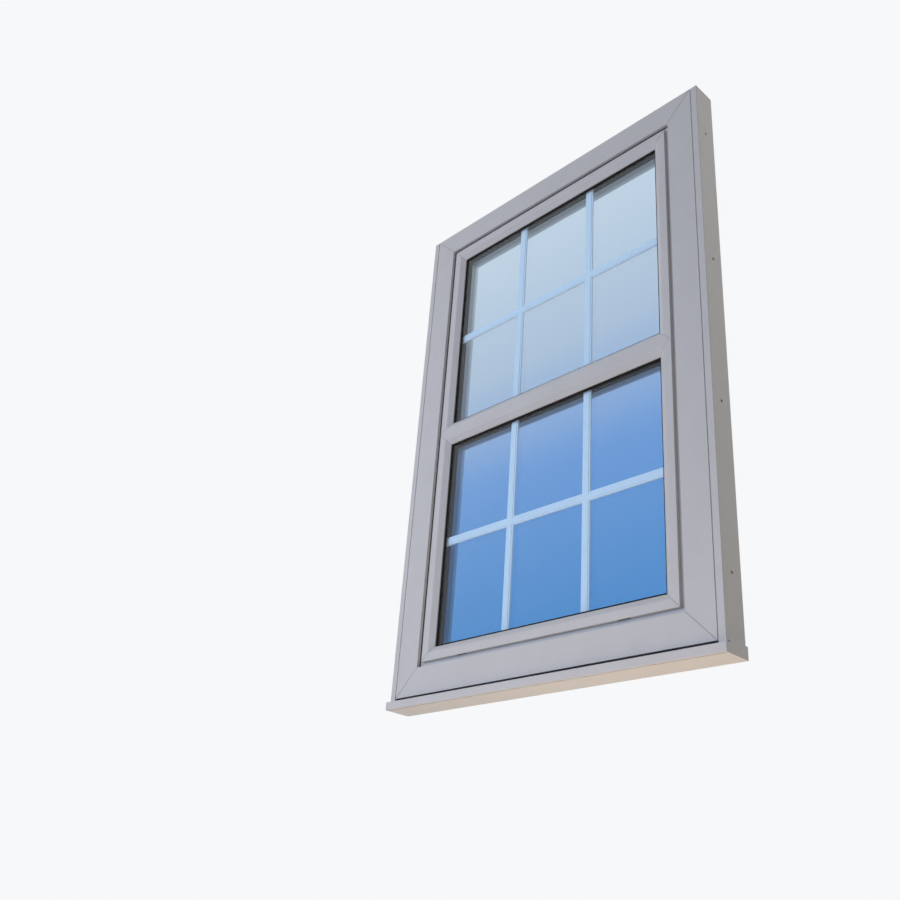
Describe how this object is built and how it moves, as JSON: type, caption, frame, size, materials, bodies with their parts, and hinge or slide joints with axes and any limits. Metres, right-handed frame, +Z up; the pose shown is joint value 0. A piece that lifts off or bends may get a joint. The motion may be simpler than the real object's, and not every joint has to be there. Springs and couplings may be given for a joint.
{
  "type": "tilt and turn window",
  "caption": "White plastic window with a mid rail, barred sealed units and a sash that turns or tilts into the room, in its frame with cill and side strips.",
  "frame": {"origin": "centre of the window's width on the cill's flat underside, at the depth of the frame's outer face", "axes": "+X to the right seen from outside, +Y into the room, +Z up"},
  "size_m": [1.03, 0.134, 1.549],
  "materials": {
    "white_upvc": "extruded white uPVC, satin, slightly aged",
    "galvanised_steel": "galvanised sheet, rolled to a box",
    "black_gasket": "matt black sealing rubber",
    "clear_glass": "clear float glass",
    "spacer_aluminium": "mill aluminium, sealed edge",
    "bar_white": "white powder coat on aluminium bar",
    "packer_plastic": "moulded polypropylene",
    "zinc_hardware": "bright zinc plate",
    "handle_white": "white powder coat on cast metal"
  },
  "bodies": {
    "frame": {"frame_head": "white_upvc", "frame_sill_rail": "white_upvc", "frame_left_jamb": "white_upvc", "frame_right_jamb": "white_upvc", "frame_jamb_steels": "galvanised_steel", "frame_rail_steels": "galvanised_steel", "frame_gasket": "black_gasket", "cill": "white_upvc", "cill_end_cap_left": "white_upvc", "cill_end_cap_right": "white_upvc", "left_side_strip": "white_upvc", "right_side_strip": "white_upvc", "lock_keeps": "zinc_hardware", "tilt_keeps": "zinc_hardware", "frame_hardware_screws": "zinc_hardware", "pivot_bearing": "zinc_hardware", "stay_bearing": "zinc_hardware"},
    "corner_link": {"corner_link": "zinc_hardware"},
    "sash": {"sash_top_rail": "white_upvc", "sash_bottom_rail": "white_upvc", "sash_left_stile": "white_upvc", "sash_right_stile": "white_upvc", "sash_mid_rail": "white_upvc", "upper_glazing_beads": "white_upvc", "lower_glazing_beads": "white_upvc", "sash_stile_steels": "galvanised_steel", "sash_rail_steels": "galvanised_steel", "mid_rail_steel": "galvanised_steel", "sash_gasket": "black_gasket", "upper_glazing_gaskets": "black_gasket", "lower_glazing_gaskets": "black_gasket", "upper_edge_seal": "black_gasket", "lower_edge_seal": "black_gasket", "upper_outer_pane": "clear_glass", "upper_inner_pane": "clear_glass", "lower_outer_pane": "clear_glass", "lower_inner_pane": "clear_glass", "upper_spacer_bar": "spacer_aluminium", "lower_spacer_bar": "spacer_aluminium", "upper_georgian_bars": "bar_white", "lower_georgian_bars": "bar_white", "glazing_packers": "packer_plastic", "hinge_bracket": "zinc_hardware", "stay_guide": "zinc_hardware", "side_faceplate": "zinc_hardware", "top_faceplate": "zinc_hardware", "bottom_faceplate": "zinc_hardware", "gearbox": "zinc_hardware", "sash_hardware_screws": "zinc_hardware", "handle_rose": "handle_white"},
    "stay_arm": {"stay_arm": "zinc_hardware"},
    "handle": {"handle_lever": "handle_white", "handle_spindle": "zinc_hardware"},
    "side_rod": {"side_drive_rod": "zinc_hardware", "side_cams": "zinc_hardware"},
    "top_rod": {"top_drive_rod": "zinc_hardware", "top_cam": "zinc_hardware"},
    "bottom_rod": {"bottom_drive_rod": "zinc_hardware", "bottom_cams": "zinc_hardware"}
  },
  "joints": [
    {"name": "turn", "type": "hinge", "parent": "frame", "child": "corner_link", "pos_m": [-0.4535, 0.078, 0.054], "axis": [0, 0, 1], "range_deg": [0, 90]},
    {"name": "tilt", "type": "hinge", "parent": "corner_link", "child": "sash", "pos_m": [-0.42, 0.078, 0.064], "axis": [-1, 0, 0], "range_deg": [0, 6]},
    {"name": "stay_swing", "type": "hinge", "parent": "corner_link", "child": "stay_arm", "pos_m": [-0.4535, 0.078, 1.486], "axis": [0, 0, 1], "range_deg": [0, 22]},
    {"name": "handle_turn", "type": "hinge", "parent": "sash", "child": "handle", "pos_m": [0.413, 0.1, 0.789], "axis": [0, 1, 0], "range_deg": [-90, 90]},
    {"name": "side_rod_slide", "type": "slide", "parent": "sash", "child": "side_rod", "axis": [0, 0, 1], "range_m": [-0.0181, 0.0181]},
    {"name": "top_rod_slide", "type": "slide", "parent": "sash", "child": "top_rod", "axis": [1, 0, 0], "range_m": [-0.0181, 0.0181]},
    {"name": "bottom_rod_slide", "type": "slide", "parent": "sash", "child": "bottom_rod", "axis": [1, 0, 0], "range_m": [-0.0181, 0.0181]}
  ],
  "couplings": [
    {"joint": "stay_swing", "follows": "tilt", "ratio": 3.628},
    {"joint": "side_rod_slide", "follows": "handle_turn", "m_per_rad": 0.011459},
    {"joint": "top_rod_slide", "follows": "handle_turn", "m_per_rad": -0.011459},
    {"joint": "bottom_rod_slide", "follows": "handle_turn", "m_per_rad": 0.011459}
  ]
}
